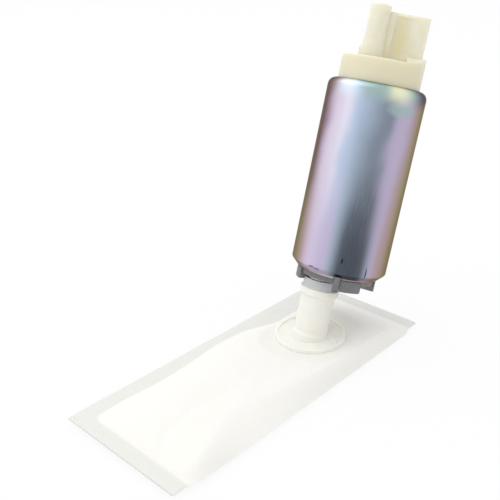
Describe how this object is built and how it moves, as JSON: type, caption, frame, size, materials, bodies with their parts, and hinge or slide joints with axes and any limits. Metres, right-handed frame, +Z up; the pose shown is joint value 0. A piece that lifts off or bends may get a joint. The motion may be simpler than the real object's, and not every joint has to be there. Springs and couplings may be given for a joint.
{
  "type": "fuel pump",
  "caption": "In-tank electric turbine fuel pump in a round steel case, with a plastic outlet cover and a flat cloth suction strainer.",
  "frame": {"origin": "on the ground under the centre of the strainer neck's flange", "axes": "+X along the pouch towards its short end, over which the pump leans; +Z up from the pouch"},
  "size_m": [0.15, 0.0563, 0.1303],
  "materials": {
    "plated_steel": "zinc plated, iridescent yellow passivation, satin",
    "grey_casting": "as die cast, dull grey",
    "cream_plastic": "moulded cream plastic, satin",
    "white_plastic": "moulded white plastic, satin",
    "filter_cloth": "white non-woven cloth, matt",
    "bright_steel": "ground steel",
    "phenolic": "filled brown moulding",
    "sintered_bronze": "oil filled, dull",
    "core_steel": "stacked sheet steel",
    "copper": "enamelled copper",
    "ferrite": "ground ferrite, dark",
    "spring_steel": "drawn wire and strip",
    "black_rubber": "smooth",
    "carbon": "pressed carbon",
    "tinned_brass": "tinned, bright"
  },
  "bodies": {
    "pump": {"case": "plated_steel", "pump_cover": "grey_casting", "pump_housing": "grey_casting", "outlet_cover": "cream_plastic", "strainer_neck": "white_plastic", "strainer_spacer": "white_plastic", "filter_pouch": "filter_cloth", "lock_ring": "bright_steel", "thrust_pad": "bright_steel", "lower_bush": "sintered_bronze", "upper_bush": "sintered_bronze", "magnet_left": "ferrite", "magnet_right": "ferrite", "magnet_clip_front": "spring_steel", "magnet_clip_rear": "spring_steel", "case_seal": "black_rubber", "brush_spring_positive": "spring_steel", "brush_spring_negative": "spring_steel", "choke_positive": "copper", "choke_negative": "copper", "terminal_positive": "tinned_brass", "terminal_negative": "tinned_brass", "check_seat": "bright_steel", "check_spring": "spring_steel", "relief_seat": "bright_steel", "relief_spring": "spring_steel"},
    "rotor": {"shaft": "bright_steel", "armature_core": "core_steel", "armature_winding": "copper", "commutator": "copper", "impeller": "phenolic"},
    "check_plunger": {"check_plunger": "phenolic"},
    "relief_ball": {"relief_ball": "bright_steel"},
    "brush_positive": {"brush_positive": "carbon"},
    "brush_negative": {"brush_negative": "carbon"}
  },
  "joints": [
    {"name": "rotor_spin", "type": "hinge", "parent": "pump", "child": "rotor", "pos_m": [0.01358, -0.00225, 0.02936], "axis": [0.2924, 0, 0.9563], "continuous": true},
    {"name": "check_lift", "type": "slide", "parent": "pump", "child": "check_plunger", "axis": [0.2924, 0, 0.9563], "range_m": [0, 0.0025], "stiffness_N_per_m": 60, "springref_m": -0.003, "deforming": ["check_spring"]},
    {"name": "relief_lift", "type": "slide", "parent": "pump", "child": "relief_ball", "axis": [0.2924, 0, 0.9563], "range_m": [0, 0.002], "stiffness_N_per_m": 400, "springref_m": -0.003, "deforming": ["relief_spring"]},
    {"name": "brush_positive_slide", "type": "slide", "parent": "pump", "child": "brush_positive", "axis": [0.2924, 0, 0.9563], "range_m": [0, 0.002], "stiffness_N_per_m": 60, "springref_m": -0.006, "deforming": ["brush_spring_positive"]},
    {"name": "brush_negative_slide", "type": "slide", "parent": "pump", "child": "brush_negative", "axis": [0.2924, 0, 0.9563], "range_m": [0, 0.002], "stiffness_N_per_m": 60, "springref_m": -0.006, "deforming": ["brush_spring_negative"]}
  ]
}
